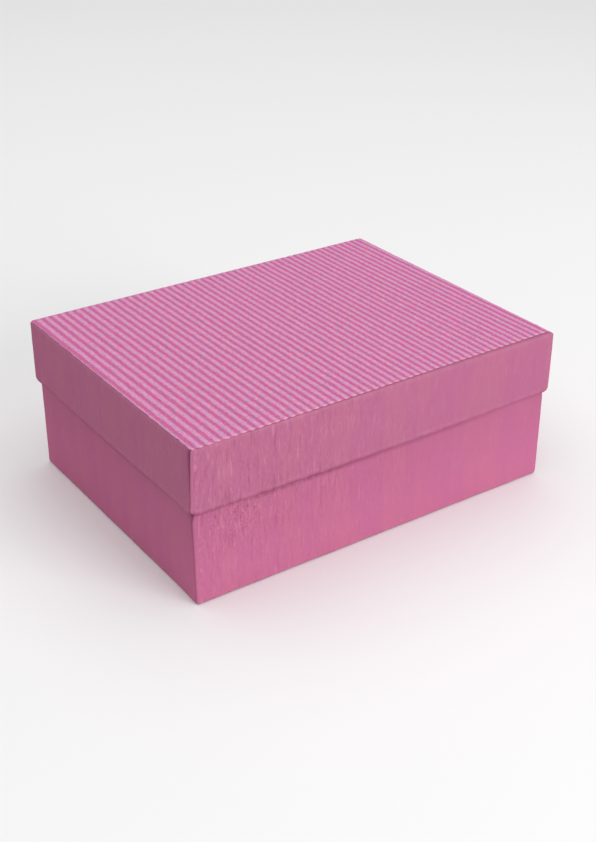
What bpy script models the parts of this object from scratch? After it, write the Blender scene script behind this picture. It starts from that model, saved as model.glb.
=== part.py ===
"""Cloth-covered rectangular hat box with a lift-off lid.

The box is two board trays, a base and a shallower lid that is turned upside down over it.
Each tray is five boards, paper tape round its four upright corners, a cloth wrap that is
folded in at both ends, and paper linings.  X is the width, Y runs from the front to the
back and Z is up.  The origin is the middle of the underside.  Sizes are in metres.
"""

import math

import bmesh
import bpy
from mathutils import Vector

# Outer size of the closed box, over the cloth of the lid.
LID_WIDTH = 0.380
LID_DEPTH = 0.290
BOX_HEIGHT = 0.148
LID_SKIRT = 0.060

# Thickness of each layer.
PANEL_BOARD = 0.0020
BASE_WALL_BOARD = 0.0020
LID_WALL_BOARD = 0.0015
CLOTH = 0.0004
STRIPED_CLOTH = 0.0006
LINING_PAPER = 0.0003
CORNER_TAPE = 0.0002

# Clearances: glued layers are kept a hair apart, and the lid slides on the base.
GAP = 0.0003
SLIDE_CLEARANCE = 0.0005

# How far the covers reach round the edges that they are folded over.
TURN_IN = 0.016
FLANGE = 0.015
TAPE_LEG = 0.018
FOOT_SHEET_MARGIN = 0.003
STRIPED_SHEET_MARGIN = 0.0012
STRIPED_SHEET_SKEW = 0.0040

# Rounding of the folds and of the upright corners.
CORNER_RADIUS = 0.0026
FOLD_RADIUS = 0.0010
INNER_RADIUS = 0.0003
SHEET_RADIUS = 0.0020
RIM_CORNER_RADIUS = 0.0060
ARC_STEPS = 4

# Worked out from the sizes above.
TAPE_INSET = CLOTH + GAP
BOARD_INSET = TAPE_INSET + CORNER_TAPE + GAP
BOARD_RADIUS = CORNER_RADIUS - BOARD_INSET
CLOSED_STACK = GAP + CLOTH + GAP + PANEL_BOARD + GAP + LINING_PAPER
OVERHANG = BOARD_INSET + LID_WALL_BOARD + GAP + CLOTH + SLIDE_CLEARANCE
BASE_RIM = BOX_HEIGHT - STRIPED_CLOTH - CLOSED_STACK - GAP
LID_RIM = BOX_HEIGHT - LID_SKIRT

# Colour and roughness of each kind of surface.
LOOKS = {
    "cloth": ((0.546, 0.162, 0.296), 0.85),
    "striped_cloth": ((0.630, 0.235, 0.440), 0.80),
    "board": ((0.290, 0.262, 0.225), 0.90),
    "tape": ((0.420, 0.300, 0.180), 0.75),
    "lining": ((0.780, 0.740, 0.690), 0.88),
    "foot_paper": ((0.520, 0.190, 0.300), 0.88),
}


def clear_scene():
    for scene_object in list(bpy.data.objects):
        bpy.data.objects.remove(scene_object, do_unlink=True)


def new_parent(name, height):
    """Empty that carries one tray; the lid's stands on the axis that it lifts along."""
    empty = bpy.data.objects.new(name, None)
    empty.empty_display_size = 0.05
    empty.location = (0.0, 0.0, height)
    bpy.context.scene.collection.objects.link(empty)
    return empty


def new_material(name, look):
    colour, roughness = LOOKS[look]
    material = bpy.data.materials.new(name + "_finish")
    material.use_nodes = True
    shader = material.node_tree.nodes["Principled BSDF"]
    shader.inputs["Base Color"].default_value = (*colour, 1.0)
    shader.inputs["Roughness"].default_value = roughness
    shader.inputs["Metallic"].default_value = 0.0
    return material


def add_piece(name, bm, centre, parent, look):
    """Turns a bmesh made round the local origin into a named piece placed at centre."""
    bmesh.ops.recalc_face_normals(bm, faces=bm.faces)
    mesh = bpy.data.meshes.new(name)
    bm.to_mesh(mesh)
    bm.free()
    mesh.materials.append(new_material(name, look))
    piece = bpy.data.objects.new(name, mesh)
    bpy.context.scene.collection.objects.link(piece)
    piece.parent = parent
    piece.location = Vector(centre) - parent.location
    return piece


def fillet(before, corner, after, radius):
    """Points of the arc that rounds one corner of an outline."""
    to_before = (before - corner).normalized()
    to_after = (after - corner).normalized()
    half_angle = to_before.angle(to_after) / 2.0
    bisector = (to_before + to_after).normalized()
    arc_centre = corner + bisector * (radius / math.sin(half_angle))
    start = corner + to_before * (radius / math.tan(half_angle)) - arc_centre
    end = corner + to_after * (radius / math.tan(half_angle)) - arc_centre
    sweep = start.angle_signed(end)
    points = []
    for step in range(ARC_STEPS + 1):
        turn = -sweep * step / ARC_STEPS
        cosine, sine = math.cos(turn), math.sin(turn)
        points.append(arc_centre + Vector((
            start.x * cosine - start.y * sine,
            start.x * sine + start.y * cosine,
        )))
    return points


def rounded_outline(corners, radius):
    outline = []
    for index, corner in enumerate(corners):
        after = corners[(index + 1) % len(corners)]
        outline.extend(fillet(corners[index - 1], corner, after, radius))
    return outline


def rectangle(half_x, half_y, radius):
    corners = [
        Vector((-half_x, -half_y)),
        Vector((half_x, -half_y)),
        Vector((half_x, half_y)),
        Vector((-half_x, half_y)),
    ]
    return rounded_outline(corners, radius)


def extrude_outline(outline, thickness):
    """Prism over a flat outline, half of its thickness above the local origin."""
    bm = bmesh.new()
    low_ring = [bm.verts.new((point.x, point.y, -thickness / 2.0)) for point in outline]
    low_face = bm.faces.new(low_ring)
    raised = bmesh.ops.extrude_face_region(bm, geom=[low_face])
    top_verts = [item for item in raised["geom"] if isinstance(item, bmesh.types.BMVert)]
    bmesh.ops.translate(bm, verts=top_verts, vec=(0.0, 0.0, thickness))
    return bm


def add_sheet(name, outline, low, high, parent, look):
    """Flat board, paper or cloth that lies between two heights."""
    bm = extrude_outline(outline, high - low)
    return add_piece(name, bm, (0.0, 0.0, (low + high) / 2.0), parent, look)


def add_ring(name, half_x, half_y, section, parent, look):
    """Closed band round the box, swept from a section of (inset, height) points."""
    middle = sum(height for _, height in section) / len(section)
    bm = bmesh.new()
    loops = []
    for inset, height in section:
        radius = max(CORNER_RADIUS - inset, INNER_RADIUS)
        outline = rectangle(half_x - inset, half_y - inset, radius)
        loops.append([bm.verts.new((point.x, point.y, height - middle)) for point in outline])
    for index, loop in enumerate(loops):
        next_loop = loops[(index + 1) % len(loops)]
        for corner in range(len(loop)):
            far = (corner + 1) % len(loop)
            bm.faces.new((loop[corner], loop[far], next_loop[far], next_loop[corner]))
    return add_piece(name, bm, (0.0, 0.0, middle), parent, look)


def ease_uprights(bm, outer_side):
    """Rounds the two upright edges of a wall board that lie on one side of it in Y."""
    outer_edges = []
    for edge in bm.edges:
        start, end = (vert.co for vert in edge.verts)
        upright = abs(start.z - end.z) > abs(start.x - end.x) + abs(start.y - end.y)
        if upright and start.y * outer_side > 0.0:
            outer_edges.append(edge)
    bmesh.ops.bevel(
        bm, geom=outer_edges, offset=BOARD_RADIUS, offset_type="OFFSET",
        segments=ARC_STEPS, profile=0.5, affect="EDGES",
    )


def round_rim_corners(bm, along, half_length, half_height, up, radius):
    """Rounds a wall board's two corners at its rim, one tangent slice after another."""
    for end in (-1.0, 1.0):
        middle = along * (end * (half_length - radius))
        middle.z = up * (half_height - radius)
        for step in range(ARC_STEPS):
            angle = math.radians(90.0) * (step + 0.5) / ARC_STEPS
            outward = along * (end * math.cos(angle))
            outward.z = up * math.sin(angle)
            cut = bmesh.ops.bisect_plane(
                bm, geom=bm.verts[:] + bm.edges[:] + bm.faces[:], dist=1e-7,
                plane_co=middle + outward * radius, plane_no=outward, clear_outer=True,
            )
            rim_edges = [item for item in cut["geom_cut"] if isinstance(item, bmesh.types.BMEdge)]
            bmesh.ops.contextual_create(bm, geom=rim_edges)


def add_wall(name, centre, size, outer_side, rim_side, rim_radius, parent):
    """Upright board of a tray.

    outer_side is the sign of Y on which a long wall's upright edges are eased, or 0 for a
    side wall.  rim_side is the sign of Z of the rim, whose corners get rim_radius.
    """
    bm = bmesh.new()
    bmesh.ops.create_cube(bm, size=1.0)
    bmesh.ops.scale(bm, vec=size, verts=bm.verts)
    if outer_side:
        ease_uprights(bm, outer_side)
    if rim_radius > 0.0:
        along = Vector((1.0, 0.0, 0.0)) if outer_side else Vector((0.0, 1.0, 0.0))
        half_length = max(size[0], size[1]) / 2.0
        round_rim_corners(bm, along, half_length, size[2] / 2.0, rim_side, rim_radius)
    return add_piece(name, bm, centre, parent, "board")


def add_corner_stay(name, half_x, half_y, side_x, side_y, low, high, parent):
    """L of gummed paper tape that holds two walls together at one upright corner."""
    outer = Vector((half_x - TAPE_INSET, half_y - TAPE_INSET))
    inner = outer - Vector((CORNER_TAPE, CORNER_TAPE))
    outer_radius = CORNER_RADIUS - TAPE_INSET
    inner_radius = outer_radius - CORNER_TAPE
    outer_arc = fillet(Vector((0.0, outer.y)), outer, Vector((outer.x, 0.0)), outer_radius)
    inner_arc = fillet(Vector((inner.x, 0.0)), inner, Vector((0.0, inner.y)), inner_radius)
    leg = TAPE_LEG
    outline = [Vector((outer.x - leg, outer.y))]
    outline += outer_arc
    outline += [Vector((outer.x, outer.y - leg)), Vector((inner.x, outer.y - leg))]
    outline += inner_arc
    outline += [Vector((outer.x - leg, inner.y))]
    placed = [Vector((point.x - outer.x, point.y - outer.y)) for point in outline]
    mirrored = [Vector((point.x * side_x, point.y * side_y)) for point in placed]
    bm = extrude_outline(mirrored, high - low)
    centre = (side_x * outer.x, side_y * outer.y, (low + high) / 2.0)
    return add_piece(name, bm, centre, parent, "tape")


def wrap_section(closed_face, rim, wall_board, up):
    """Section of a tray's cloth: in under its closed end, along the wall, round the rim."""
    face_in = BOARD_INSET + wall_board + GAP + CLOTH
    fold = FOLD_RADIUS
    eased = fold * (1.0 - math.sqrt(0.5))
    return [
        (FLANGE, closed_face),
        (fold, closed_face),
        (eased, closed_face + up * eased),
        (0.0, closed_face + up * fold),
        (0.0, rim - up * fold),
        (eased, rim - up * eased),
        (fold, rim),
        (face_in - fold, rim),
        (face_in - eased, rim - up * eased),
        (face_in, rim - up * fold),
        (face_in, rim - up * TURN_IN),
        (face_in - CLOTH, rim - up * TURN_IN),
        (face_in - CLOTH, rim - up * fold),
        (face_in - fold, rim - up * CLOTH),
        (fold, rim - up * CLOTH),
        (CLOTH, rim - up * fold),
        (CLOTH, closed_face + up * fold),
        (fold, closed_face + up * CLOTH),
        (FLANGE, closed_face + up * CLOTH),
    ]


def build_walls(tray, half_x, half_y, low, high, board, rim_side, rim_radius, parent):
    """Four wall boards; the front and back run the full width and hold the side walls."""
    out_x = half_x - BOARD_INSET
    out_y = half_y - BOARD_INSET
    height = high - low
    middle = (low + high) / 2.0
    side_length = 2.0 * (out_y - board - GAP)
    for side, sign in (("front", -1), ("back", 1)):
        name = tray + "_wall_" + side
        centre = (0.0, sign * (out_y - board / 2.0), middle)
        size = (2.0 * out_x, board, height)
        add_wall(name, centre, size, sign, rim_side, rim_radius, parent)
    for side, sign in (("left", -1), ("right", 1)):
        name = tray + "_wall_" + side
        centre = (sign * (out_x - board / 2.0), 0.0, middle)
        size = (board, side_length, height)
        add_wall(name, centre, size, 0, rim_side, max(rim_radius - board, 0.0), parent)


def build_corner_stays(tray, half_x, half_y, low, high, parent):
    for side_y, row in ((-1, "front"), (1, "back")):
        for side_x, column in ((-1, "left"), (1, "right")):
            name = tray + "_corner_stay_" + row + "_" + column
            add_corner_stay(name, half_x, half_y, side_x, side_y, low, high, parent)


def build_tray(tray, names, half_x, half_y, closed_face, rim, board, rim_radius, parent):
    """Boards, tape, wrap and linings of one tray, from its closed end to its rim.

    closed_face is the outer face of the cloth that is folded over the closed end, and
    rim_radius rounds the corners of the wall boards at the rim.
    """
    up = 1.0 if rim > closed_face else -1.0
    board_out = closed_face + up * (CLOTH + GAP)
    board_in = board_out + up * PANEL_BOARD
    lining_out = board_in + up * GAP
    wall_end = rim - up * (CLOTH + GAP)
    wall_low, wall_high = sorted((board_in + up * GAP, wall_end))
    tape_low, tape_high = sorted((board_out, wall_end - up * rim_radius))

    panel = rectangle(half_x - BOARD_INSET, half_y - BOARD_INSET, BOARD_RADIUS)
    panel_low, panel_high = sorted((board_out, board_in))
    add_sheet(names["board"], panel, panel_low, panel_high, parent, "board")
    build_walls(tray, half_x, half_y, wall_low, wall_high, board, up, rim_radius, parent)
    build_corner_stays(tray, half_x, half_y, tape_low, tape_high, parent)

    section = wrap_section(closed_face, rim, board, up)
    add_ring(tray + "_wrap", half_x, half_y, section, parent, "cloth")

    # The lining of the walls goes in first, and the lining of the panel lies within it.
    band_inset = BOARD_INSET + board + GAP
    band_end = rim - up * (TURN_IN + GAP)
    band = [
        (band_inset, lining_out),
        (band_inset + LINING_PAPER, lining_out),
        (band_inset + LINING_PAPER, band_end),
        (band_inset, band_end),
    ]
    add_ring(tray + "_wall_lining", half_x, half_y, band, parent, "lining")
    lining_inset = band_inset + LINING_PAPER + GAP
    lining = rectangle(half_x - lining_inset, half_y - lining_inset, INNER_RADIUS)
    lining_low, lining_high = sorted((lining_out, lining_out + up * LINING_PAPER))
    add_sheet(names["lining"], lining, lining_low, lining_high, parent, "lining")


def build_base(parent):
    half_x = LID_WIDTH / 2.0 - OVERHANG
    half_y = LID_DEPTH / 2.0 - OVERHANG
    names = {"board": "base_floor_board", "lining": "base_floor_lining"}
    closed_face = LINING_PAPER + GAP
    build_tray(
        "base", names, half_x, half_y, closed_face, BASE_RIM, BASE_WALL_BOARD, 0.0, parent,
    )
    foot = rectangle(half_x - FOOT_SHEET_MARGIN, half_y - FOOT_SHEET_MARGIN, SHEET_RADIUS)
    add_sheet("base_foot_sheet", foot, 0.0, LINING_PAPER, parent, "foot_paper")


def build_lid(parent):
    half_x = LID_WIDTH / 2.0
    half_y = LID_DEPTH / 2.0
    names = {"board": "lid_top_board", "lining": "lid_top_lining"}
    sheet_low = BOX_HEIGHT - STRIPED_CLOTH
    closed_face = sheet_low - GAP
    build_tray(
        "lid", names, half_x, half_y, closed_face, LID_RIM, LID_WALL_BOARD,
        RIM_CORNER_RADIUS, parent,
    )
    # The striped sheet was cut a little short along its front edge, towards the right.
    reach_x = half_x - STRIPED_SHEET_MARGIN
    reach_y = half_y - STRIPED_SHEET_MARGIN
    corners = [
        Vector((-reach_x, -reach_y)),
        Vector((reach_x, -reach_y + STRIPED_SHEET_SKEW)),
        Vector((reach_x, reach_y)),
        Vector((-reach_x, reach_y)),
    ]
    sheet = rounded_outline(corners, SHEET_RADIUS)
    add_sheet("lid_top_sheet", sheet, sheet_low, BOX_HEIGHT, parent, "striped_cloth")


def main():
    clear_scene()
    build_base(new_parent("base_frame", 0.0))
    build_lid(new_parent("lid_lift_frame", LID_RIM))


main()
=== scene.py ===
"""Cloth-covered hat box: cloth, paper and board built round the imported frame."""

import math

import bpy
import numpy as np
from mathutils import Matrix, Vector


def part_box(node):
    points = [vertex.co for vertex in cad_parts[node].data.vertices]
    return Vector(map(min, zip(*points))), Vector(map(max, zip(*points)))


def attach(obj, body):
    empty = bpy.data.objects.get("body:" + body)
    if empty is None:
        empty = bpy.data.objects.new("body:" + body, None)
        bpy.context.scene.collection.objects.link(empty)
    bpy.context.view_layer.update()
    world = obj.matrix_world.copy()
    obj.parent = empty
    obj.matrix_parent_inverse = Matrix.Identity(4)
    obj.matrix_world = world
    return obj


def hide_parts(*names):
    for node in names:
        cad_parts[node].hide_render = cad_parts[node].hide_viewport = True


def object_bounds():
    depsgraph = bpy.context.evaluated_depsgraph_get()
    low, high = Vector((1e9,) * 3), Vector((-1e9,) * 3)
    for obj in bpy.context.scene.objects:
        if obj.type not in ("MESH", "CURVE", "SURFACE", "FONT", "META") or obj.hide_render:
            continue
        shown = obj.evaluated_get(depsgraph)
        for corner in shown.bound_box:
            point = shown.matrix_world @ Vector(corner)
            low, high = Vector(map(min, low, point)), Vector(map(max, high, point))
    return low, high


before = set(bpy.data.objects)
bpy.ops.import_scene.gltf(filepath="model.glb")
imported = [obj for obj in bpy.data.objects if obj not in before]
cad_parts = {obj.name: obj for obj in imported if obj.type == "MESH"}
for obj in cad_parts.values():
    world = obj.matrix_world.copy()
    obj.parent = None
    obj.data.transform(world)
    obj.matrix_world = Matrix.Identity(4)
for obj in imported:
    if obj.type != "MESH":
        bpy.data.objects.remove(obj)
cad_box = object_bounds()

# Camera and room.
CAMERA_LOCATION = (-0.61247, -0.90047, 0.64474)
CAMERA_YAW = 34.623
CAMERA_PITCH = -28.643
CAMERA_ROLL = 0.159
CAMERA_LENS = 56.227
FLOOR_DROP = 0.0004
FLOOR_SIZE = 14.0

# Cloth, in metres.
CLOTH = 0.0004
FLANGE = 0.0150
PLAN_RADIUS = 0.0026
EDGE_STEP = 0.0024
CORNER_STEP = 0.0005
STEP_GROWTH = 0.10
CORNER_SPLITS = 8
ARC_SPLITS = 6
FLANGE_ROWS = 5
RIM_ROWS = 4
FLAP_ROWS = 6
OUTER_DEPTH = 0.0025
DEEPEST = -0.00018

LID_FOLD = 0.0017
LID_RIM_FOLD = 0.0011
LID_ROW_STEP = 0.0026
LID_RIM_BOW = 0.0016
LID_RIM_LIFT = 0.0004
LID_SHORT_BOW = 0.85
LID_CORNER_RADIUS = 0.0067
LID_CORNER_CENTRE = 0.0072
LID_CORNER_SHARE = 0.90
LID_CORNER_RISE = 0.0030
LID_CORNER_RISE_INSIDE = 0.0016
BASE_FOLD = 0.0017
BASE_RIM_FOLD = 0.0012
BASE_ROW_STEP = 0.0034
BASE_CORNER_RADIUS = 0.0038
BASE_CORNER_SHARE = 0.35
# Painted shadow of the closed lid's rim on the base: the height of its line, and where it ends above.
BASE_RIM_SHADOW_LINE = 0.0858
BASE_RIM_SHADOW_END = (0.0885, 0.0895)
BASE_SHELTER = (0.0815, 0.0875)
BASE_SEEN_TOP = 0.085
CORNER_SHARPENING = 0.00055
LID_FLARE = 0.0021
BASE_FLARE = 0.0019
BASE_RIGHT_FLARE = 0.0012
BASE_RIGHT_REACH = 0.045

# Crumpled patches of the base cloth, shown only as painted light and shade in its colour:
# strength, place along the front, half its length, and height, half its height.
CRUMPLED = ((1.4, 0.036, 0.026, 0.072, 0.018), (0.8, 0.005, 0.004, 0.048, 0.006))

# Striped cloth: where stripe k lies across the lid, as shares of the lid's width.
STRIPES = 50
STRIPE_FIRST = -0.4737
STRIPE_PITCH = 0.01989
STRIPE_DRIFT = -2.44e-5
STRIPE_MIDDLE = 24.5
STRIPE_SWAY = 0.125
STRIPE_SWAY_START = -0.05
STRIPE_SWAY_LENGTH = 1.16
STRIPE_OFFSET = -0.20
STRIPE_SLIDE = -0.2225
STRIPE_TILT = 0.36
STRIPE_TWIST = 0.23
STRIPE_SAMPLES = 8
STRIPE_ROW = 0.0040
RIB_HEIGHT = 0.00022
STRIPE_RIGHT_GAP = 0.0014
STRIPE_SKEW = 0.0040
STRIPE_FRAY = 0.0003
STRIPE_EDGE_ROWS = (0.0, 0.0006, 0.0014, 0.0026)
STRIPE_CORNER_CUT = 0.0018

# Cloth colours.
LID_TONE = (0.430, 0.135, 0.234)
BASE_TONE = (0.454, 0.132, 0.240)
LIGHT_STRIPE = (0.690, 0.300, 0.490)
DARK_STRIPE = (0.525, 0.104, 0.280)

# Light, in watts, and the strength of the white world.
OVERHEAD_POWER = 96.0
FRONT_FILL_POWER = 52.0
WORLD_STRENGTH = 0.45


# ---------------------------------------------------------------- smooth noise

def wave_noise(seed, longest, shortest, count=24):
    """Smooth noise of one or two coordinates in metres, about -1 to 1, from seeded waves."""
    rng = np.random.default_rng(seed)
    lengths = np.exp(rng.uniform(math.log(shortest), math.log(longest), count))
    angles = rng.uniform(0.0, 2.0 * math.pi, count)
    phases = rng.uniform(0.0, 2.0 * math.pi, count)
    weights = np.sqrt(lengths / longest)
    weights /= np.sqrt((weights ** 2).sum() / 2.0) * 2.0

    def value(a, b=0.0):
        total = 0.0
        for length, angle, phase, weight in zip(lengths, angles, phases, weights):
            reach = a * math.cos(angle) + b * math.sin(angle)
            total = total + weight * np.cos(2.0 * math.pi * reach / length + phase)
        return total

    return value


def bump_row(seed, pitch, width):
    """Irregular small lumps along a line, 0 to 1: one about every pitch, each about width long."""
    rng = np.random.default_rng(seed)
    centres = np.cumsum(rng.uniform(0.4, 1.6, 400) * pitch) - 40.0 * pitch
    sizes = rng.uniform(0.3, 1.0, 400)
    widths = rng.uniform(0.6, 1.5, 400) * width

    def value(a):
        flat = np.asarray(a, float)
        total = np.zeros(flat.shape)
        for centre, size, spread in zip(centres, sizes, widths):
            total = np.maximum(total, size * np.exp(-((flat - centre) / spread) ** 2))
        return total

    return value


def smooth(value, low, high):
    """0 below low, 1 above high, and an S-shaped rise between them."""
    share = np.clip((value - low) / (high - low), 0.0, 1.0)
    return share * share * (3.0 - 2.0 * share)


# ---------------------------------------------------------------- swept bands

class Loop:
    """Stations round a rounded rectangle, anticlockwise from its front left corner."""

    def __init__(self, half_x, half_y, radius):
        self.half = np.array([half_x, half_y])
        self.radius = radius
        side, share, corner, reach = [], [], [], []
        for index in range(4):
            length = 2.0 * (self.half[index % 2] - radius)
            offsets = self.spread(length)
            side += [index] * len(offsets)
            share += list(offsets / length)
            corner += [False] * len(offsets)
            reach += list(np.minimum(offsets, length - offsets) + radius)
            for split in range(1, CORNER_SPLITS):
                angle = 0.5 * math.pi * split / CORNER_SPLITS
                side.append(index)
                share.append(split / CORNER_SPLITS)
                corner.append(True)
                reach.append(radius * (1.0 - min(math.sin(angle), math.cos(angle))))
        self.side = np.array(side)
        self.share = np.array(share)
        self.corner = np.array(corner)
        self.reach = np.array(reach)
        x, y = self.points(np.zeros((1, len(side))))
        line = np.stack([x[0], y[0]], 1)
        gaps = np.linalg.norm(np.roll(line, -1, 0) - line, axis=1)
        self.length = float(gaps.sum())
        self.u = np.concatenate([[0.0], np.cumsum(gaps)[:-1]])

    @staticmethod
    def spread(length):
        """Offsets along a side, close together near both of its ends."""
        half = [0.0]
        while half[-1] < length / 2.0:
            half.append(half[-1] + min(EDGE_STEP, CORNER_STEP + STEP_GROWTH * half[-1]))
        half = np.array(half) * (length / 2.0 / half[-1])
        return np.concatenate([half, length - half[-2::-1]])

    def points(self, inset):
        """x and y of every station at the given insets, one row of them per profile row."""
        radius = np.maximum(self.radius - inset, 0.0003)
        turn = math.pi / 2.0 * self.side
        along_x, along_y = np.cos(turn), np.sin(turn)
        out_x, out_y = np.sin(turn), -np.cos(turn)
        reach = self.half[self.side % 2] - inset - radius
        depth = self.half[(self.side + 1) % 2] - inset - radius
        angle = math.pi / 2.0 * self.share
        run = np.where(self.corner, reach + radius * np.sin(angle), (2.0 * self.share - 1.0) * reach)
        rise = np.where(self.corner, depth + radius * np.cos(angle), depth + radius)
        return run * along_x + rise * out_x, run * along_y + rise * out_y


def make_mesh(name, points, faces, body, layers, floats):
    """Smooth mesh riding a body. layers are UVs per face corner, floats are values per vertex."""
    mesh = bpy.data.meshes.new(name)
    mesh.from_pydata(points.tolist(), [], faces.tolist())
    mesh.shade_smooth()
    for layer_name, uv in layers.items():
        layer = mesh.uv_layers.new(name=layer_name)
        layer.data.foreach_set("uv", np.ascontiguousarray(uv, np.float32).ravel())
    for float_name, values in floats.items():
        attribute = mesh.attributes.new(float_name, "FLOAT", "POINT")
        attribute.data.foreach_set("value", np.ascontiguousarray(values, np.float32).ravel())
    mesh.update()
    obj = bpy.data.objects.new(name, mesh)
    bpy.context.scene.collection.objects.link(obj)
    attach(obj, body)
    return obj


def band_faces(rows, columns):
    """Quads of a closed shell: rows of points joined in a ring both ways."""
    row, column = np.meshgrid(np.arange(rows), np.arange(columns), indexing="ij")
    below = (row + 1) % rows
    after = (column + 1) % columns
    corners = [row * columns + column, below * columns + column,
               below * columns + after, row * columns + after]
    return np.stack([c.ravel() for c in corners], 1)


def sweep_band(name, loop, inset, height, lift, shift, body, floats):
    """Closed shell of cloth swept round a loop.

    inset and height give the seen face, a row of stations for each profile row. lift moves
    it along its normal, shift moves it in plan, and the back lies the cloth's thickness behind.
    """
    along_inset = np.gradient(inset, axis=0)
    along_height = np.gradient(height, axis=0)
    size = np.maximum(np.hypot(along_inset, along_height), 1e-9)
    normal_inset, normal_height = along_height / size, -along_inset / size
    seen = (inset + normal_inset * lift, height + normal_height * lift)
    back = (seen[0] - normal_inset * CLOTH, seen[1] - normal_height * CLOTH)
    shell_inset = np.concatenate([seen[0], back[0][::-1]])
    shell_height = np.concatenate([seen[1], back[1][::-1]])
    x, y = loop.points(shell_inset)
    x = x + np.concatenate([shift[0], shift[0][::-1]])
    y = y + np.concatenate([shift[1], shift[1][::-1]])
    shell_height = np.maximum(shell_height, 0.0)
    points = np.stack([x, y, shell_height], 2).reshape(-1, 3)

    steps = np.hypot(np.diff(inset, axis=0), np.diff(height, axis=0))
    down = np.concatenate([np.zeros((1, inset.shape[1])), np.cumsum(steps, 0)])
    down = np.concatenate([down, down[::-1]])
    rows, columns = down.shape
    faces = band_faces(rows, columns)
    u = np.append(loop.u, loop.length)
    u_first = np.tile(u[:columns], rows)
    u_next = np.tile(u[1:], rows)
    v = down.ravel()
    uv = np.stack([
        np.stack([u_first, v[faces[:, 0]]], 1), np.stack([u_first, v[faces[:, 1]]], 1),
        np.stack([u_next, v[faces[:, 2]]], 1), np.stack([u_next, v[faces[:, 3]]], 1),
    ], 1)
    both = {key: np.concatenate([value, value[::-1]]) for key, value in floats.items()}
    return make_mesh(name, points, faces, body, {"cloth": uv}, both)


def cover_profile(loop, closed_face, rim, rim_in, up, fold, rim_fold, row_step, face_in, flap_end):
    """Rows of a tray's cloth from its flange, over the closed edge, to the end of its flap.

    rim and rim_in are the heights of the rim at each station, at its outer and inner face,
    and up is 1 or -1. Returns insets, heights, and which rows are seen outside, as 1 or 0.
    """
    count = len(loop.u)
    insets, heights = [], []

    def row(inset, height):
        insets.append(np.full(count, inset))
        heights.append(np.zeros(count) + height)

    for inset in np.linspace(FLANGE, fold, FLANGE_ROWS + 1)[:-1]:
        row(inset, closed_face)
    for angle in np.linspace(0.0, math.pi / 2.0, ARC_SPLITS + 1):
        row(fold * (1.0 - math.sin(angle)), closed_face + up * fold * (1.0 - math.cos(angle)))
    start = closed_face + up * fold
    end = rim - up * rim_fold
    wall_rows = max(2, round(float(np.abs(end - start).max()) / row_step))
    for share in np.linspace(0.0, 1.0, wall_rows + 1)[1:]:
        row(0.0, start + (end - start) * share)
    last_seen = len(insets) + RIM_ROWS
    for angle in np.linspace(0.0, math.pi / 2.0, ARC_SPLITS)[1:]:
        row(rim_fold * (1.0 - math.cos(angle)), rim - up * rim_fold * (1.0 - math.sin(angle)))
    for angle in np.linspace(0.0, math.pi / 2.0, ARC_SPLITS):
        row(face_in - rim_fold * (1.0 - math.sin(angle)),
            rim_in - up * rim_fold * (1.0 - math.cos(angle)))
    end = rim_in - up * rim_fold
    for share in np.linspace(0.0, 1.0, FLAP_ROWS + 1)[1:]:
        row(face_in, end + (flap_end - end) * share)
    rows = np.arange(len(insets))[:, None]
    outside = ((rows >= FLANGE_ROWS) & (rows < last_seen)).astype(float)
    return np.stack(insets), np.stack(heights), outside


# ---------------------------------------------------------------- shader helpers

class Shader:
    """A material whose Principled shader goes straight to the output."""

    def __init__(self, name):
        self.material = bpy.data.materials.new(name)
        self.material.use_nodes = True
        self.tree = self.material.node_tree
        self.bsdf = self.tree.nodes["Principled BSDF"]

    def node(self, kind, inputs=None, **settings):
        made = self.tree.nodes.new(kind)
        for key, value in settings.items():
            setattr(made, key, value)
        for key, value in (inputs or {}).items():
            self.put(made.inputs[key], value)
        return made

    def put(self, socket, value):
        if isinstance(value, bpy.types.NodeSocket):
            self.tree.links.new(value, socket)
        else:
            socket.default_value = value

    def set(self, **values):
        for key, value in values.items():
            self.put(self.bsdf.inputs[key.replace("_", " ")], value)

    def uv(self, layer="cloth"):
        return self.node("ShaderNodeUVMap", uv_map=layer).outputs["UV"]

    def place(self):
        return self.node("ShaderNodeTexCoord").outputs["Object"]

    def attribute(self, name):
        return self.node("ShaderNodeAttribute", attribute_name=name).outputs["Fac"]

    def stretch(self, vector, scale):
        return self.node("ShaderNodeVectorMath", {0: vector, 1: scale}, operation="MULTIPLY").outputs[0]

    def noise(self, vector, scale, detail=2.0, roughness=0.5, distortion=0.0):
        inputs = {"Vector": vector, "Scale": scale, "Detail": detail, "Roughness": roughness,
                  "Distortion": distortion}
        return self.node("ShaderNodeTexNoise", inputs).outputs["Fac"]

    def math(self, operation, first, second=0.0, third=0.0):
        inputs = {0: first, 1: second, 2: third}
        return self.node("ShaderNodeMath", inputs, operation=operation).outputs[0]

    def step(self, value, low, high, to_low=0.0, to_high=1.0):
        inputs = {"Value": value, "From Min": low, "From Max": high,
                  "To Min": to_low, "To Max": to_high}
        return self.node("ShaderNodeMapRange", inputs, interpolation_type="SMOOTHSTEP").outputs[0]

    def mix(self, share, first, second, blend="MIX"):
        made = self.node("ShaderNodeMix", data_type="RGBA", blend_type=blend)
        self.put(made.inputs[0], share)
        self.put(made.inputs[6], first)
        self.put(made.inputs[7], second)
        return made.outputs[2]

    def parts(self, vector):
        made = self.node("ShaderNodeSeparateXYZ", {"Vector": vector})
        return made.outputs[0], made.outputs[1]

    def bump(self, height, strength, distance):
        inputs = {"Height": height, "Strength": strength, "Distance": distance}
        return self.node("ShaderNodeBump", inputs).outputs["Normal"]


def colour(red, green, blue):
    return (red, green, blue, 1.0)


def tint(base, red, green, blue):
    return colour(base[0] * red, base[1] * green, base[2] * blue)


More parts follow.
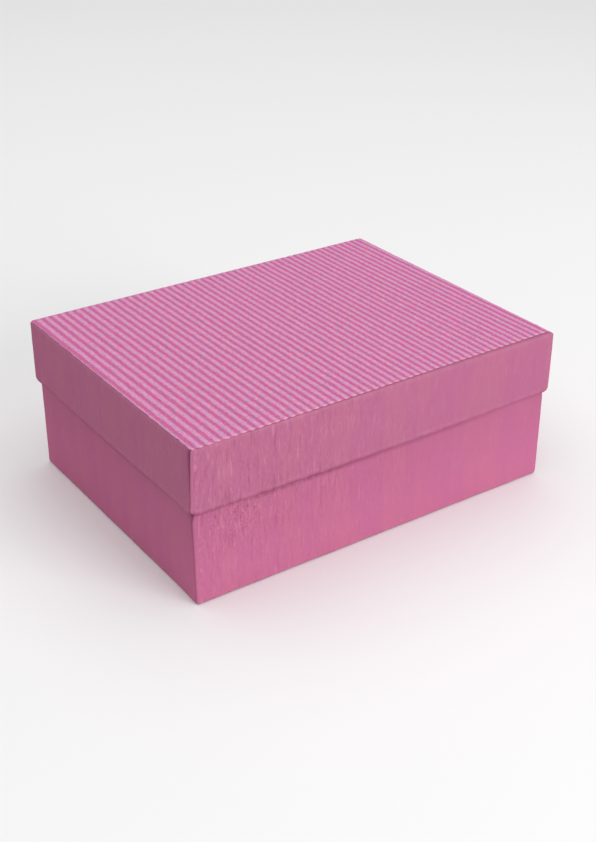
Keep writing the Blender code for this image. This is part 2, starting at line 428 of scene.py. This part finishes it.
def plain_cloth(name, base):
    """Slubby plain-woven cloth, with threads of uneven thickness running up the walls."""
    s = Shader(name)
    uv = s.uv()
    slubby = s.attribute("slubs")
    drift = s.noise(s.stretch(uv, (60.0, 60.0, 1.0)), 1.0, 2.0, 0.5)
    across, along = s.parts(uv)
    across = s.math("MULTIPLY_ADD", drift, 0.004, across)
    thread_uv = s.node("ShaderNodeCombineXYZ", {0: across, 1: along}).outputs[0]
    long_slubs = s.noise(s.stretch(thread_uv, (360.0, 36.0, 1.0)), 1.0, 3.0, 0.62, 0.35)
    short_slubs = s.noise(s.stretch(thread_uv, (470.0, 105.0, 1.0)), 1.0, 3.0, 0.62, 0.80)
    crumples = s.noise(s.stretch(uv, (430.0, 210.0, 1.0)), 1.0, 3.0, 0.62, 1.60)
    threads = s.noise(s.stretch(uv, (2400.0, 260.0, 1.0)), 1.0, 2.0, 0.5)
    cross = s.noise(s.stretch(uv, (190.0, 1700.0, 1.0)), 1.0, 2.0, 0.5)
    bands = s.noise(s.stretch(uv, (60.0, 6.0, 1.0)), 1.0, 2.0, 0.5)
    patches = s.noise(s.stretch(uv, (20.0, 14.0, 1.0)), 1.0, 2.0, 0.5)

    tone = s.mix(s.step(bands, 0.36, 0.64), tint(base, 0.985, 0.96, 1.01),
                 tint(base, 1.02, 1.03, 0.99))
    tone = s.mix(s.step(patches, 0.40, 0.66, 0.0, 0.36), tone, tint(base, 0.98, 0.94, 1.08))
    long_pale = s.math("MULTIPLY", s.step(long_slubs, 0.55, 0.72, 0.0, 0.62), slubby)
    long_deep = s.math("MULTIPLY", s.step(long_slubs, 0.45, 0.29, 0.0, 0.62), slubby)
    short_pale = s.math("MULTIPLY", s.step(short_slubs, 0.56, 0.72, 0.0, 0.60), slubby)
    short_deep = s.math("MULTIPLY", s.step(short_slubs, 0.44, 0.28, 0.0, 0.60), slubby)
    tone = s.mix(long_pale, tone, tint(base, 1.22, 1.52, 1.32))
    tone = s.mix(long_deep, tone, tint(base, 0.76, 0.62, 0.72))
    tone = s.mix(short_pale, tone, tint(base, 1.24, 1.50, 1.28))
    tone = s.mix(short_deep, tone, tint(base, 0.74, 0.64, 0.74))
    # Painted light and shade of crumpled cloth: pale and deep patches where the crumple attribute is
    # set.
    creased = s.attribute("crumple")
    tone = s.mix(s.math("MULTIPLY", s.step(crumples, 0.54, 0.66, 0.0, 0.75), creased), tone,
                 tint(base, 1.28, 1.58, 1.26))
    tone = s.mix(s.math("MULTIPLY", s.step(crumples, 0.44, 0.32, 0.0, 0.85), creased), tone,
                 tint(base, 0.66, 0.50, 0.62))
    tone = s.mix(s.step(threads, 0.30, 0.75, 0.0, 0.22), tone, tint(base, 1.14, 1.24, 1.16))
    tone = s.mix(s.step(cross, 0.52, 0.80, 0.0, 0.20), tone, tint(base, 0.84, 0.74, 0.80))
    # Painted light bounced up from the floor: the colour is up to 14 % lighter where this attribute is
    # 1.
    tone = s.mix(s.attribute("painted_floor_bounce"), tone, colour(1.14, 1.13, 1.13), "MULTIPLY")
    # pale carries painted highlights on folds and lumps; dark carries painted shade under the rim and in
    # the corner groove, and the painted shadow below the closed rim.
    tone = s.mix(s.attribute("pale"), tone, tint(base, 1.36, 1.85, 1.50))
    tone = s.mix(s.attribute("dark"), tone, tint(base, 0.42, 0.26, 0.34))

    relief = s.math("MULTIPLY_ADD", short_slubs, 0.8, s.math("MULTIPLY", long_slubs, 0.9))
    relief = s.math("MULTIPLY", relief, slubby)
    relief = s.math("MULTIPLY_ADD", threads, 0.45, relief)
    relief = s.math("MULTIPLY_ADD", cross, 0.30, relief)
    s.set(Base_Color=tone, Roughness=s.step(short_slubs, 0.3, 0.7, 0.90, 0.76),
          Specular_IOR_Level=0.05, Sheen_Weight=0.02, Sheen_Roughness=0.5,
          Sheen_Tint=colour(1.0, 0.40, 0.62),
          Normal=s.bump(relief, 0.55, 0.00034))
    return s.material


def striped_cloth(name, light, deep):
    """Heathered striped cloth: pale raised ribs between deep pink rows."""
    s = Shader(name)
    uv = s.uv()
    number = s.parts(s.uv("stripe"))[0]
    wander = s.noise(s.stretch(uv, (150.0, 50.0, 1.0)), 1.0, 2.0, 0.5)
    ragged = s.noise(s.stretch(uv, (620.0, 560.0, 1.0)), 1.0, 2.0, 0.6)
    number = s.math("MULTIPLY_ADD", wander, 0.16, number)
    number = s.math("MULTIPLY_ADD", ragged, 0.52, number)
    turn = s.math("MULTIPLY_ADD", number, 2.0 * math.pi, -0.68 * math.pi)
    wave = s.math("COSINE", turn)
    dark = s.step(wave, -0.42, 0.42, 0.05, 0.95)

    fleck = s.noise(s.stretch(uv, (560.0, 360.0, 1.0)), 1.0, 3.0, 0.60, 0.4)
    tuft = s.noise(s.stretch(uv, (520.0, 330.0, 1.0)), 1.0, 3.0, 0.60, 0.9)
    lilac = s.noise(s.stretch(uv, (400.0, 210.0, 1.0)), 1.0, 2.0, 0.55, 0.5)
    hot = s.noise(s.stretch(uv, (380.0, 190.0, 1.0)), 1.0, 2.0, 0.55, 0.2)
    fine = s.noise(s.stretch(uv, (1500.0, 800.0, 1.0)), 1.0, 2.0, 0.5)

    light_tone = s.mix(s.step(fleck, 0.38, 0.62), tint(light, 0.90, 0.88, 0.96),
                       tint(light, 1.08, 1.12, 1.03))
    light_tone = s.mix(s.step(lilac, 0.51, 0.62, 0.0, 0.95), light_tone, tint(light, 0.76, 1.02, 1.12))
    light_tone = s.mix(s.step(tuft, 0.55, 0.66, 0.0, 0.85), light_tone, tint(light, 1.08, 1.46, 0.86))
    light_tone = s.mix(s.step(hot, 0.55, 0.64, 0.0, 0.60), light_tone, tint(light, 1.02, 0.66, 0.92))
    dark_tone = s.mix(s.step(tuft, 0.40, 0.60), tint(deep, 0.82, 0.88, 0.86),
                      tint(deep, 1.16, 1.28, 1.02))
    dark_tone = s.mix(s.step(hot, 0.47, 0.60, 0.0, 0.95), dark_tone, tint(deep, 1.34, 0.44, 1.06))
    dark_tone = s.mix(s.step(lilac, 0.51, 0.63, 0.0, 0.90), dark_tone, tint(deep, 0.76, 1.06, 1.16))
    tone = s.mix(dark, light_tone, dark_tone)
    tone = s.mix(s.step(fleck, 0.42, 0.28, 0.0, 0.55), tone, tint(deep, 0.84, 0.82, 0.84))
    tone = s.mix(s.step(fine, 0.42, 0.74, 0.0, 0.40), tone, tint(light, 1.16, 1.30, 1.16))
    # pale: the frayed front end, and a painted highlight along the fold at the top's edges.
    tone = s.mix(s.attribute("pale"), tone, tint(light, 1.14, 1.34, 1.10))

    relief = s.math("MULTIPLY_ADD", fine, 0.5, s.math("MULTIPLY", fleck, 1.6))
    relief = s.math("MULTIPLY_ADD", wave, -0.5, relief)
    s.set(Base_Color=tone, Roughness=0.84, Specular_IOR_Level=0.10, Sheen_Weight=0.04,
          Sheen_Roughness=0.5, Sheen_Tint=colour(1.0, 0.80, 0.92), Normal=s.bump(relief, 0.6, 0.00045))
    return s.material


def fibrous_sheet(name, ground, shade, fleck_tone, roughness, fleck_share=0.5):
    """Paper or board: soft fibre mottling, small flecks and a faint tooth."""
    s = Shader(name)
    place = s.place()
    mottle = s.noise(place, 60.0, 4.0, 0.6)
    fibre = s.noise(s.stretch(place, (900.0, 900.0, 900.0)), 1.0, 3.0, 0.6, 1.2)
    tooth = s.noise(place, 3200.0, 2.0, 0.5)
    tone = s.mix(s.step(mottle, 0.35, 0.68), ground, shade)
    tone = s.mix(s.step(fibre, 0.60, 0.78, 0.0, fleck_share), tone, fleck_tone)
    relief = s.math("MULTIPLY_ADD", fibre, 0.6, tooth)
    s.set(Base_Color=tone, Roughness=roughness, Specular_IOR_Level=0.25,
          Normal=s.bump(relief, 0.35, 0.00012))
    return s.material


# ---------------------------------------------------------------- materials

lid_look = plain_cloth("lid_cloth_look", LID_TONE)
base_look = plain_cloth("base_cloth_look", BASE_TONE)
stripe_look = striped_cloth("striped_cloth_look", LIGHT_STRIPE, DARK_STRIPE)
board_look = fibrous_sheet(
    "grey_board_look", ground=colour(0.330, 0.310, 0.280), shade=colour(0.270, 0.255, 0.235),
    fleck_tone=colour(0.160, 0.145, 0.125), roughness=0.88)
tape_look = fibrous_sheet(
    "corner_tape_look", ground=colour(0.420, 0.270, 0.145), shade=colour(0.360, 0.225, 0.120),
    fleck_tone=colour(0.250, 0.145, 0.070), roughness=0.62)
lining_look = fibrous_sheet(
    "lining_paper_look", ground=colour(0.860, 0.835, 0.785), shade=colour(0.835, 0.805, 0.750),
    fleck_tone=colour(0.700, 0.650, 0.570), roughness=0.80, fleck_share=0.24)
foot_look = fibrous_sheet(
    "foot_paper_look", ground=colour(0.700, 0.665, 0.600), shade=colour(0.640, 0.600, 0.535),
    fleck_tone=colour(0.480, 0.430, 0.355), roughness=0.84, fleck_share=0.40)

for node_name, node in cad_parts.items():
    wall_board = node_name.split("_")[1] == "wall" and "lining" not in node_name
    if "board" in node_name or wall_board:
        look = board_look
    elif "stay" in node_name:
        look = tape_look
    elif "lining" in node_name:
        look = lining_look
    elif node_name == "base_foot_sheet":
        look = foot_look
    else:
        look = lid_look
    node.data.materials.clear()
    node.data.materials.append(look)


# ---------------------------------------------------------------- lapped corner and slubs

def corner_run(loop):
    """Distance round the loop from the middle of the front left corner, positive to its right."""
    middle = -0.25 * math.pi * loop.radius
    return np.where(loop.u > loop.length / 2.0, loop.u - loop.length, loop.u)[None, :] - middle


def seam_marks(loop, height, top, bottom, seed):
    """The lap of the cloth at the front left corner: a groove left of it, and lumps beside it."""
    run = corner_run(loop)
    share = np.clip((height - bottom) / (top - bottom), 0.0, 1.0)
    ragged = wave_noise(seed + 1, 0.030, 0.003)(height, height * 0.3)
    groove_width = 0.0006
    start = -groove_width + 0.0003 * ragged
    reach = 0.0007 + 0.0022 * smooth(share, 0.25, 1.0)
    groove = smooth(run, start + groove_width, start) * np.exp(-np.maximum(start - run, 0.0) / reach)
    groove = groove * (0.50 + 0.50 * smooth(share, 0.1, 0.9))
    lumps = bump_row(seed, 0.0075, 0.0013)(height)
    ridge = np.exp(-((run - 0.0040 - 0.0006 * ragged) / 0.0010) ** 2) * lumps
    return groove, ridge


def beside(loop, inset, x, y, reach):
    """1 at a corner of the plan, fading to nothing some way along both walls and inside the fold."""
    place_x, place_y = loop.points(inset)
    away = np.hypot(place_x - x, place_y - y)
    return np.exp(-(away / reach) ** 2) * (1.0 - smooth(inset, 0.0, OUTER_DEPTH))


def corner_push(loop, inset, flare):
    """How far, in plan, the lapped corner stands out: a crisp fold, leaning left by flare."""
    run = corner_run(loop)
    outer = 1.0 - smooth(inset, 0.0, OUTER_DEPTH)
    arc = np.where((loop.side == 3) & loop.corner, np.sin(math.pi * loop.share), 0.0)[None, :]
    crisp = CORNER_SHARPENING * math.sqrt(0.5) * arc * outer
    lean = flare * np.exp(-(run / 0.018) ** 2) * outer
    return -crisp - lean, 0.1 * lean - crisp


def slub_strength(loop, height, near, far, elsewhere):
    """How slubby the cloth is: most of all along the front, next to its front left corner."""
    on_front = (loop.side == 0) & ~loop.corner
    reach = np.where(on_front, loop.u, 1.0)[None, :]
    swell = 0.12 * wave_noise(51, 0.09, 0.02)(loop.u[None, :], height)
    front = far + (near - far) * (1.0 - smooth(reach, 0.04, 0.26))
    return np.clip(np.where(on_front[None, :], front, elsewhere) + swell, 0.0, 1.5)


# ---------------------------------------------------------------- lid cover

def build_lid_cover():
    """Plain cloth of the lid's skirt, from its flange on the top, round the rim, to its flap."""
    low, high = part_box("lid_wrap")
    loop = Loop(high.x, high.y, PLAN_RADIUS)
    wave = wave_noise(11, 0.16, 0.018)
    side_length = 2.0 * loop.half[loop.side % 2]
    middle = np.where(loop.corner, 0.0, np.sin(math.pi * loop.share) ** 1.4)
    bow = LID_RIM_BOW * middle * np.where(side_length > 0.3, 1.0, LID_SHORT_BOW)
    rim = low.z + LID_RIM_LIFT - bow
    near = 1.0 - smooth(np.where(loop.side == 0, loop.u, 1.0), 0.06, 0.26)
    ragged = 0.00040 * near * wave_noise(15, 0.016, 0.006)(loop.u)
    rim = rim + np.minimum(0.00022 * wave(loop.u) + ragged, 0.00005)
    beyond = np.maximum(LID_CORNER_CENTRE - loop.reach, 0.0)
    rounded = LID_CORNER_RADIUS - np.sqrt(np.maximum(LID_CORNER_RADIUS ** 2 - beyond ** 2, 0.0))
    rim_in = rim + np.minimum(LID_CORNER_SHARE * rounded, LID_CORNER_RISE_INSIDE)
    rim = rim + np.minimum(LID_CORNER_SHARE * rounded, LID_CORNER_RISE)
    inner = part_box("lid_wall_lining")
    face_in = high.x - inner[1].x + 0.0004
    inset, height, outside = cover_profile(
        loop, high.z, rim, rim_in, -1.0, LID_FOLD, LID_RIM_FOLD, LID_ROW_STEP,
        face_in, inner[0].z - 0.0003)
    groove, ridge = seam_marks(loop, height, high.z, low.z, 21)
    ripple = wave_noise(12, 0.09, 0.012)(loop.u[None, :], height)
    lift = outside * np.maximum(0.00014 * ripple - 0.00030 * groove + 0.00022 * ridge, DEEPEST)
    # Painted highlight along the top fold and on the frayed lumps beside the lapped corner, plus a faint
    # pale band just above the rim.
    pale_mottle = wave_noise(13, 0.03, 0.004)(loop.u[None, :], height)
    edge = np.exp(-((height - high.z) / 0.0016) ** 2) * np.clip(0.14 + 0.08 * pale_mottle, 0.0, 1.0)
    hem = np.exp(-((height - rim[None, :] - 0.0034) / 0.0013) ** 2)
    hem = hem * np.clip(0.06 + 0.14 * pale_mottle, 0.0, 1.0)
    pale = outside * np.clip(edge + hem + 0.55 * ridge, 0.0, 1.0)
    # Painted shade: the underside of the rim is darkened, scalloped and strongest near the front left,
    # and so is the groove at the lapped corner.
    under = 1.0 - smooth(height - rim[None, :], 0.0003, 0.0017)
    scallop = 0.45 + 0.30 * near + (0.12 + 0.30 * near) * wave_noise(14, 0.02, 0.005)(loop.u)
    dark = outside * np.clip(groove + under * np.clip(scallop, 0.1, 1.0)[None, :], 0.0, 1.0)
    # Painted light and shade of small tucks by the front left corner, just above the rim.
    tucks = np.exp(-(corner_run(loop) / 0.010) ** 2)
    tucks = tucks * (1.0 - smooth(height - rim[None, :], 0.001, 0.008))
    slubs = slub_strength(loop, height, near=1.25, far=0.30, elsewhere=0.40)
    floats = {"pale": pale, "dark": dark, "slubs": slubs,
              "crumple": outside * tucks * 0.7, "painted_floor_bounce": np.zeros(height.shape)}
    share = np.clip((height - low.z) / (high.z - low.z), 0.0, 1.0)
    shift = corner_push(loop, inset, LID_FLARE * (1.0 - share))
    piece = sweep_band("lid_cover", loop, inset, height, lift, shift, "lid", floats)
    piece.data.materials.append(lid_look)
    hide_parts("lid_wrap")


# ---------------------------------------------------------------- base cover

def build_base_cover():
    """Plain cloth of the base's walls, from its flange underneath, round the rim, to its flap."""
    low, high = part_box("base_wrap")
    loop = Loop(high.x, high.y, PLAN_RADIUS)
    wave = wave_noise(31, 0.20, 0.030)
    rim = high.z - 0.0002 + 0.00015 * wave(loop.u)
    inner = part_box("base_wall_lining")
    face_in = high.x - inner[1].x + 0.0004
    inset, height, outside = cover_profile(
        loop, low.z, rim, rim, 1.0, BASE_FOLD, BASE_RIM_FOLD, BASE_ROW_STEP,
        face_in, inner[1].z + 0.0003)
    beyond = np.maximum(BASE_CORNER_RADIUS - loop.reach, 0.0)
    rounded = BASE_CORNER_RADIUS - np.sqrt(np.maximum(BASE_CORNER_RADIUS ** 2 - beyond ** 2, 0.0))
    low_down = 1.0 - smooth(height, low.z + 0.001, low.z + 0.02)
    height = height + rounded[None, :] * BASE_CORNER_SHARE * low_down
    groove, ridge = seam_marks(loop, height, high.z, low.z, 22)
    ripple = wave_noise(32, 0.12, 0.015)(loop.u[None, :], height)
    lift = outside * np.maximum(0.00016 * ripple - 0.00025 * groove + 0.00020 * ridge, DEEPEST)
    # Paler along the fold at the foot, and the frayed lumps beside the lapped corner lightened as
    # painted highlight.
    pale_mottle = wave_noise(33, 0.03, 0.004)(loop.u[None, :], height)
    edge = np.exp(-((height - low.z) / 0.0026) ** 2) * np.clip(0.16 + 0.14 * pale_mottle, 0.0, 1.0)
    pale = outside * np.clip(edge + 0.70 * ridge, 0.0, 1.0)
    run = corner_run(loop)
    near = np.where((loop.side == 0)[None, :], 1.0 - smooth(run, 0.06, 0.24), 0.0)
    middle = np.where(loop.corner, 0.0, np.sin(math.pi * loop.share))[None, :]
    # Painted shadow: a thin scalloped dark line on the base just below the closed lid's rim, strongest
    # near the front left. It stays on the cloth when the lid is lifted.
    line = BASE_RIM_SHADOW_LINE - LID_RIM_BOW * middle
    lumps = bump_row(34, 0.0075, 0.0022)(loop.u)[None, :]
    rim_shadow = smooth(height, line - 0.0013 - 0.0010 * lumps * near, line)
    rim_shadow = rim_shadow * (1.0 - smooth(height, *BASE_RIM_SHADOW_END))
    rim_shadow = rim_shadow * (0.30 + (0.10 + 0.45 * lumps) * near)
    # dark: the painted rim shadow, and painted shade in the groove at the lapped corner.
    dark = outside * np.clip(0.70 * groove + rim_shadow, 0.0, 1.0)
    # Painted light and shade of the crumpled patches listed in CRUMPLED.
    tucks = np.zeros(height.shape)
    for strength, along, half_length, up, half_height in CRUMPLED:
        away = -((run - along) / half_length) ** 2 - ((height - up) / half_height) ** 2
        tucks = tucks + strength * np.exp(away)
    # Painted light bounced up from the floor: the base cloth grows up to 14 % lighter from 85 mm down to
    # its foot.
    painted_floor_bounce = 1.0 - smooth(height, low.z, BASE_SEEN_TOP)
    slubs = slub_strength(loop, height, near=1.15, far=0.24, elsewhere=0.12)
    slubs = slubs * (0.55 + 0.45 * smooth(height, 0.015, 0.070))
    floats = {"pale": pale, "dark": dark, "slubs": slubs,
              "crumple": outside * tucks, "painted_floor_bounce": painted_floor_bounce}
    below = 1.0 - smooth(height, *BASE_SHELTER)
    lean = 0.45 + 0.55 * np.clip(height / BASE_SEEN_TOP, 0.0, 1.0)
    shift = corner_push(loop, inset, BASE_FLARE * below * lean)
    out_right = BASE_RIGHT_FLARE * below * beside(loop, inset, high.x, low.y, BASE_RIGHT_REACH)
    shift = (shift[0] + out_right, shift[1])
    piece = sweep_band("base_cover", loop, inset, height, lift, shift, "base", floats)
    piece.data.materials.append(base_look)
    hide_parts("base_wrap")


# ---------------------------------------------------------------- striped cloth

def stripe_place(number, width):
    """Where a stripe lies across a lid of this width."""
    drift = STRIPE_DRIFT * (number - STRIPE_MIDDLE) ** 2
    return width * (STRIPE_FIRST + STRIPE_PITCH * number + drift)


def rib_share(stripe):
    """Height of the ribs as a share: 0 in the middle of a deep row, 1 on a pale rib."""
    return 0.5 - 0.5 * np.cos(2.0 * math.pi * stripe)


def stripe_shift(x, y, width, depth):
    """How far, in stripes, the cloth is pulled to the right at a point of the lid."""
    across, back = x / width, y / depth
    sway = -STRIPE_SWAY * np.sin(2.0 * math.pi * (across - STRIPE_SWAY_START) / STRIPE_SWAY_LENGTH)
    return sway + STRIPE_OFFSET + STRIPE_SLIDE * across - (STRIPE_TILT + STRIPE_TWIST * across) * back


def build_striped_cloth():
    """Striped cloth laid on the lid's top, with frayed edges, its front edge a little skewed."""
    low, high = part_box("lid_top_sheet")
    width = cad_box[1].x - cad_box[0].x
    left, right = low.x, high.x - STRIPE_RIGHT_GAP
    number = np.arange(-2 * STRIPE_SAMPLES, (STRIPES + 1) * STRIPE_SAMPLES) / STRIPE_SAMPLES
    place = stripe_place(number, width)
    keep = (place > left + 0.0004) & (place < right - 0.0004)
    first = np.interp(left, place, number)
    last = np.interp(right, place, number)
    number = np.concatenate([[first], number[keep], [last]])
    across = stripe_place(number, width)
    rows = round((high.y - low.y) / STRIPE_ROW)
    edge_rows = np.array(STRIPE_EDGE_ROWS) / (high.y - low.y)
    share = np.concatenate([edge_rows, np.linspace(0.0, 1.0, rows + 1)[2:-2], 1.0 - edge_rows[::-1]])

    fray = wave_noise(41, 0.009, 0.0016)
    skew = smooth(across, left, right) * STRIPE_SKEW
    front = low.y + 0.0003 + skew - 0.0005 * rib_share(number) + STRIPE_FRAY * fray(across)
    back = high.y - 0.0004 + STRIPE_FRAY * fray(across + 1.0)
    x = np.tile(across, (len(share), 1))
    y = front[None, :] + (back - front)[None, :] * share[:, None]
    side_fray = STRIPE_FRAY * fray(y + 2.0)
    x = x + side_fray * ((x < left + 0.002) | (x > right - 0.002))
    cut = STRIPE_CORNER_CUT
    for edge_y in (low.y, high.y):
        near = np.maximum(cut - np.abs(edge_y - y), 0.0)
        pull = cut - np.sqrt(np.maximum(cut ** 2 - near ** 2, 0.0))
        x = x * (1.0 - pull / abs(low.x))

    depth = cad_box[1].y - cad_box[0].y
    stripe = number[None, :] - stripe_shift(x, y, width, depth)
    rib = rib_share(stripe)
    drape = wave_noise(42, 0.14, 0.03)(x, y)
    reach_x = cad_box[1].x - np.abs(x)
    reach_y = cad_box[1].y - np.abs(y)
    reach = np.minimum(reach_x, reach_y)
    into = np.clip(LID_FOLD - reach, 0.0, LID_FOLD)
    droop = LID_FOLD - np.sqrt(np.maximum(LID_FOLD ** 2 - into ** 2, 0.0))
    top = high.z - 0.00020 + RIB_HEIGHT * rib + 0.00010 * drape - droop
    bottom = low.z - droop + np.zeros(top.shape)

    shell_x = np.stack([x, x])
    shell_y = np.stack([y, y])
    shell_z = np.stack([top, bottom])
    points = np.stack([shell_x, shell_y, shell_z], 3).reshape(-1, 3)
    count_y, count_x = x.shape
    index = np.arange(2 * count_y * count_x).reshape(2, count_y, count_x)
    upper, lower = index[0], index[1]
    quads = [
        np.stack([upper[:-1, :-1], upper[:-1, 1:], upper[1:, 1:], upper[1:, :-1]], 2).reshape(-1, 4),
        np.stack([lower[:-1, :-1], lower[1:, :-1], lower[1:, 1:], lower[:-1, 1:]], 2).reshape(-1, 4),
        np.stack([upper[0, :-1], lower[0, :-1], lower[0, 1:], upper[0, 1:]], 1),
        np.stack([upper[-1, :-1], upper[-1, 1:], lower[-1, 1:], lower[-1, :-1]], 1),
        np.stack([upper[:-1, 0], upper[1:, 0], lower[1:, 0], lower[:-1, 0]], 1),
        np.stack([upper[:-1, -1], lower[:-1, -1], lower[1:, -1], upper[1:, -1]], 1),
    ]
    faces = np.concatenate(quads)
    vertex_stripe = np.tile(stripe.ravel(), 2)
    plan = points[:, :2]
    stripe_uv = np.stack([vertex_stripe[faces], plan[faces][..., 1]], 2)
    end_wear = np.exp(-((y - front[None, :]) / 0.0018) ** 2) * (0.10 + 0.60 * rib)
    # Painted highlight along the fold at the top's edge.
    fold_highlight = np.exp(-(into - LID_FOLD) ** 2 / 0.0010 ** 2) * 0.25
    pale = np.clip(np.stack([end_wear + fold_highlight] * 2), 0.0, 1.0)
    piece = make_mesh("lid_stripe_cloth", points, faces, "lid",
                      {"cloth": plan[faces], "stripe": stripe_uv}, {"pale": pale})
    piece.data.materials.append(stripe_look)
    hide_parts("lid_top_sheet")


build_lid_cover()
build_base_cover()
build_striped_cloth()


# ---------------------------------------------------------------- room, light and camera

def add_floor():
    mesh = bpy.data.meshes.new("floor")
    half = FLOOR_SIZE / 2.0
    corners = [(-half, -half), (half, -half), (half, half), (-half, half)]
    mesh.from_pydata([(x, y, -FLOOR_DROP) for x, y in corners], [], [(0, 1, 2, 3)])
    floor = bpy.data.objects.new("floor", mesh)
    bpy.context.scene.collection.objects.link(floor)
    s = Shader("floor_look")
    s.set(Base_Color=colour(0.90, 0.90, 0.90), Roughness=0.9, Specular_IOR_Level=0.1)
    mesh.materials.append(s.material)


def add_softbox(name, place, target, size, power):
    data = bpy.data.lights.new(name, "AREA")
    data.shape = "RECTANGLE"
    data.size, data.size_y = size
    data.energy = power
    lamp = bpy.data.objects.new(name, data)
    bpy.context.scene.collection.objects.link(lamp)
    lamp.location = place
    aim = Vector(target) - Vector(place)
    lamp.rotation_euler = aim.to_track_quat("-Z", "Y").to_euler()


def add_camera():
    yaw, pitch, roll = (math.radians(a) for a in (CAMERA_YAW, CAMERA_PITCH, CAMERA_ROLL))
    forward = Vector((math.sin(yaw) * math.cos(pitch), math.cos(yaw) * math.cos(pitch), math.sin(pitch)))
    level = Vector((math.cos(yaw), -math.sin(yaw), 0.0))
    right = math.cos(roll) * level + math.sin(roll) * level.cross(forward)
    up = right.cross(forward)
    data = bpy.data.cameras.new("camera")
    data.sensor_width = 36.0
    data.lens = CAMERA_LENS
    data.clip_start = 0.05
    camera = bpy.data.objects.new("camera", data)
    bpy.context.scene.collection.objects.link(camera)
    turned = Matrix((right, up, -forward)).transposed().to_4x4()
    camera.matrix_world = Matrix.Translation(CAMERA_LOCATION) @ turned
    bpy.context.scene.camera = camera


add_floor()
add_softbox("overhead", (0.0, 0.5, 3.4), (0.0, 0.3, 0.0), (6.0, 6.0), OVERHEAD_POWER)
add_softbox("front_fill", (0.9, -2.8, 1.1), (0.0, 0.0, 0.07), (1.8, 1.4), FRONT_FILL_POWER)

world = bpy.data.worlds.new("studio")
world.use_nodes = True
background = world.node_tree.nodes["Background"]
background.inputs["Color"].default_value = colour(1.0, 1.0, 1.0)
background.inputs["Strength"].default_value = WORLD_STRENGTH
bpy.context.scene.world = world
bpy.context.scene.view_settings.view_transform = "Standard"
add_camera()
